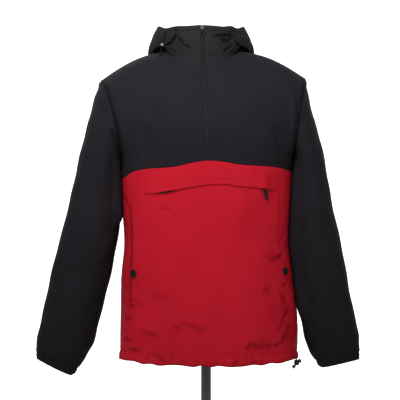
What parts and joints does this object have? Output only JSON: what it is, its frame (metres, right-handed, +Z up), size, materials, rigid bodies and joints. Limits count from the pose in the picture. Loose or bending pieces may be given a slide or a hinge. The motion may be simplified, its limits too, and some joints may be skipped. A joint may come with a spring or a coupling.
{
  "type": "anorak pullover on a limbless dress form with a counter stand",
  "caption": "Hooded half-zip anorak, black above and red below, with a flapped chest pocket and side pockets, on a limbless dress form with a pole and round foot.",
  "frame": {"origin": "centre of the underside of the stand's foot, on the floor", "axes": "+Z up along the pole, the garment's front faces -Y, +X is the right seen from the front, the wearer's left"},
  "size_m": [0.739, 0.3478, 1.0143],
  "materials": {
    "black_cloth": "matt woven nylon",
    "red_cloth": "matt woven nylon",
    "zip_tape": "coil zip tape",
    "nickel": "bright nickel",
    "black_pull": "satin black",
    "snap": "satin black cap",
    "cord": "braided",
    "toggle": "satin black",
    "form_jersey": "stretched jersey over a hard shell",
    "pole_finish": "gloss black",
    "black_steel": "satin black"
  },
  "bodies": {
    "garment_and_stand": {"front_lower": "red_cloth", "back_lower": "red_cloth", "front_yoke": "black_cloth", "back_yoke": "black_cloth", "sleeve_left": "black_cloth", "sleeve_right": "black_cloth", "cuff_left": "black_cloth", "cuff_right": "black_cloth", "collar_left": "black_cloth", "collar_right": "black_cloth", "hood_side_left": "black_cloth", "hood_side_right": "black_cloth", "hood_middle": "black_cloth", "chest_flap": "red_cloth", "chest_zip": "zip_tape", "chest_zip_slider": "black_pull", "front_zip": "zip_tape", "front_zip_slider": "nickel", "pocket_welt_left": "red_cloth", "pocket_welt_right": "red_cloth", "snap_left": "snap", "snap_right": "snap", "eyelet_left": "nickel", "eyelet_right": "nickel", "hood_cord": "cord", "hood_cord_stop": "nickel", "hem_cord": "cord", "hem_cord_lock": "toggle", "dress_form": "form_jersey", "form_plate": "black_steel", "pole": "pole_finish", "pole_socket": "black_steel", "base_plate": "black_steel"},
    "front_pull": {"front_zip_pull": "nickel", "front_zip_tab": "black_pull"},
    "chest_pull": {"chest_zip_pull": "black_pull"}
  },
  "joints": [
    {"name": "front_pull_swing", "type": "hinge", "parent": "garment_and_stand", "child": "front_pull", "pos_m": [-0.00901, -0.07977, 0.99386], "axis": [-1, 0, 0], "range_deg": [0, 120]},
    {"name": "chest_pull_swing", "type": "hinge", "parent": "garment_and_stand", "child": "chest_pull", "pos_m": [0.13033, -0.11422, 0.62845], "axis": [-0.8769, -0.4807, 0], "range_deg": [0, 70]}
  ]
}
